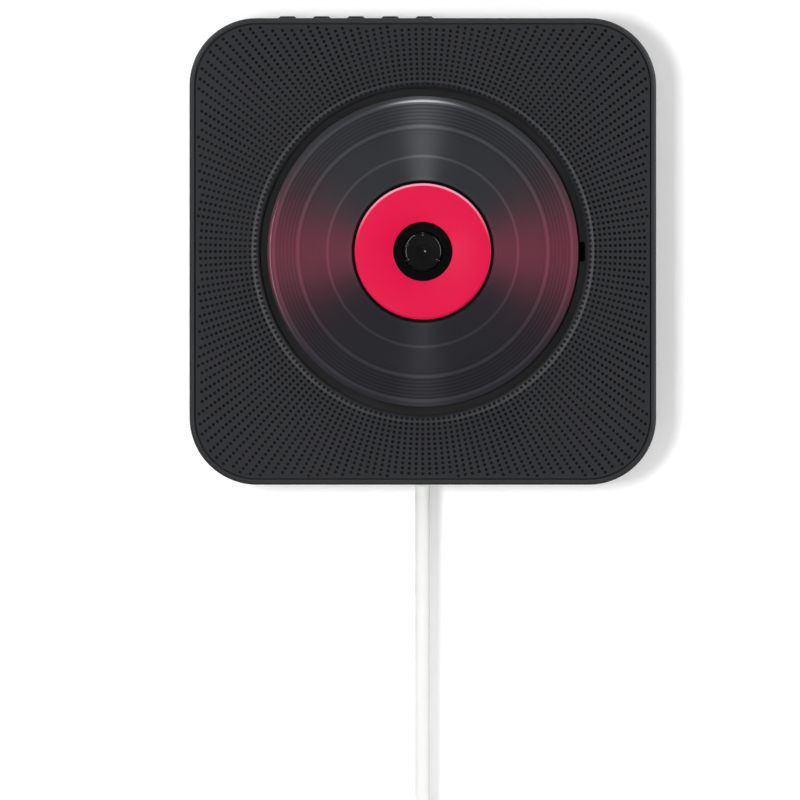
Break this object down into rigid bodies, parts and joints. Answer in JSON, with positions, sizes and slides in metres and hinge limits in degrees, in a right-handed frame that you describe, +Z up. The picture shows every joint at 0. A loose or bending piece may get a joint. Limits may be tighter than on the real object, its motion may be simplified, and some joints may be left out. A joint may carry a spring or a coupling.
{
  "type": "wall mounted disc player",
  "caption": "Square wall mounted disc player with an open round well, a perforated front, two speakers, top buttons and a power lead that is its pull switch.",
  "frame": {"origin": "on the wall plane, at the centre of the bracket's four screw holes, level with the disc's axis", "axes": "+X to the viewer's right, +Z up, +Y into the wall; the player's front faces -Y"},
  "size_m": [0.18, 0.04, 0.4648],
  "materials": {
    "bracket_steel": "satin",
    "housing_black": "fine matt texture",
    "grille_black": "fine matt texture, perforated",
    "deck_black": "matt",
    "trim_black": "satin",
    "rubber_black": "matt",
    "bright_steel": "satin",
    "board_green": "lacquered board",
    "parts_yellow": "gloss",
    "cord_white": "smooth satin sheath",
    "tie_black": "woven tape",
    "cone_grey": "pressed paper",
    "disc_black": "gloss with fine grooves",
    "label_crimson": "printed, half gloss",
    "sled_grey": "satin",
    "gear_ivory": "satin",
    "lens_glass": "coated"
  },
  "bodies": {
    "bracket": {"wall_bracket": "bracket_steel"},
    "housing": {"front_shell": "housing_black", "well_ring": "housing_black", "grille_skin": "grille_black", "rear_cover": "housing_black", "wall_pads": "rubber_black", "cover_screws": "bright_steel", "disc_deck": "deck_black", "deck_screws": "bright_steel", "chassis": "bright_steel", "chassis_dampers": "rubber_black", "damper_screws": "bright_steel", "guide_rods": "bright_steel", "spindle_motor": "bright_steel", "sled_motor": "bright_steel", "main_board": "board_green", "main_board_parts": "trim_black", "power_board": "board_green", "power_board_parts": "parts_yellow", "board_screws": "bright_steel", "button_board": "board_green", "button_switches": "trim_black", "cord_bush": "cord_white", "pull_switch": "trim_black", "pull_guide": "trim_black", "pull_spring": "bright_steel", "speaker_frames": "trim_black", "speaker_cones": "cone_grey", "speaker_surrounds": "rubber_black", "speaker_magnets": "bright_steel"},
    "turntable": {"turntable": "trim_black", "turntable_mat": "rubber_black", "hub_cap": "trim_black", "hub_balls": "bright_steel", "spindle_shaft": "bright_steel"},
    "disc": {"disc": "disc_black", "disc_label": "label_crimson"},
    "pickup": {"pickup_sled": "sled_grey", "sled_rack": "gear_ivory", "actuator_yoke": "bright_steel"},
    "lens": {"lens_holder": "sled_grey", "lens": "lens_glass"},
    "drive_gear": {"drive_gear": "gear_ivory"},
    "motor_pinion": {"motor_pinion": "gear_ivory"},
    "button_1": {"button_1": "trim_black"},
    "button_2": {"button_2": "trim_black"},
    "button_3": {"button_3": "trim_black"},
    "button_4": {"button_4": "trim_black"},
    "button_5": {"button_5": "trim_black"},
    "pull_cord": {"pull_slider": "trim_black", "power_cord": "cord_white", "cord_coil": "cord_white", "cord_tie": "tie_black", "plug_sleeve": "cord_white", "plug_body": "cord_white", "plug_pins": "bright_steel"}
  },
  "joints": [
    {"name": "bracket_lift", "type": "slide", "parent": "bracket", "child": "housing", "axis": [0, 0, 1], "range_m": [0, 0.0064]},
    {"name": "turntable_spin", "type": "hinge", "parent": "housing", "child": "turntable", "pos_m": [0, 0, 0], "axis": [0, -1, 0], "continuous": true},
    {"name": "disc_lift", "type": "slide", "parent": "turntable", "child": "disc", "axis": [0, -1, 0], "range_m": [0, 0.025]},
    {"name": "pickup_slide", "type": "slide", "parent": "housing", "child": "pickup", "axis": [1, 0, 0], "range_m": [0, 0.034]},
    {"name": "lens_focus", "type": "slide", "parent": "pickup", "child": "lens", "axis": [0, -1, 0], "range_m": [-0.0004, 0.0004], "stiffness_N_per_m": 40},
    {"name": "drive_gear_turn", "type": "hinge", "parent": "housing", "child": "drive_gear", "pos_m": [0.034, -0.024, -0.0292], "axis": [0, 1, 0], "range_deg": [0, 406]},
    {"name": "pinion_turn", "type": "hinge", "parent": "housing", "child": "motor_pinion", "pos_m": [0.02058, -0.023, -0.03931], "axis": [0, 1, 0], "range_deg": [-1016, 0]},
    {"name": "button_1_press", "type": "slide", "parent": "housing", "child": "button_1", "axis": [0, 0, -1], "range_m": [0, 0.0008], "stiffness_N_per_m": 800, "springref_m": -0.001},
    {"name": "button_2_press", "type": "slide", "parent": "housing", "child": "button_2", "axis": [0, 0, -1], "range_m": [0, 0.0008], "stiffness_N_per_m": 800, "springref_m": -0.001},
    {"name": "button_3_press", "type": "slide", "parent": "housing", "child": "button_3", "axis": [0, 0, -1], "range_m": [0, 0.0008], "stiffness_N_per_m": 800, "springref_m": -0.001},
    {"name": "button_4_press", "type": "slide", "parent": "housing", "child": "button_4", "axis": [0, 0, -1], "range_m": [0, 0.0008], "stiffness_N_per_m": 800, "springref_m": -0.001},
    {"name": "button_5_press", "type": "slide", "parent": "housing", "child": "button_5", "axis": [0, 0, -1], "range_m": [0, 0.0008], "stiffness_N_per_m": 800, "springref_m": -0.001},
    {"name": "cord_pull", "type": "slide", "parent": "housing", "child": "pull_cord", "axis": [0, 0, -1], "range_m": [0, 0.006], "stiffness_N_per_m": 400, "springref_m": -0.012, "deforming": ["pull_spring"]}
  ],
  "couplings": [
    {"joint": "drive_gear_turn", "follows": "pickup_slide", "rad_per_m": 208.33},
    {"joint": "pinion_turn", "follows": "pickup_slide", "rad_per_m": -520.83}
  ]
}
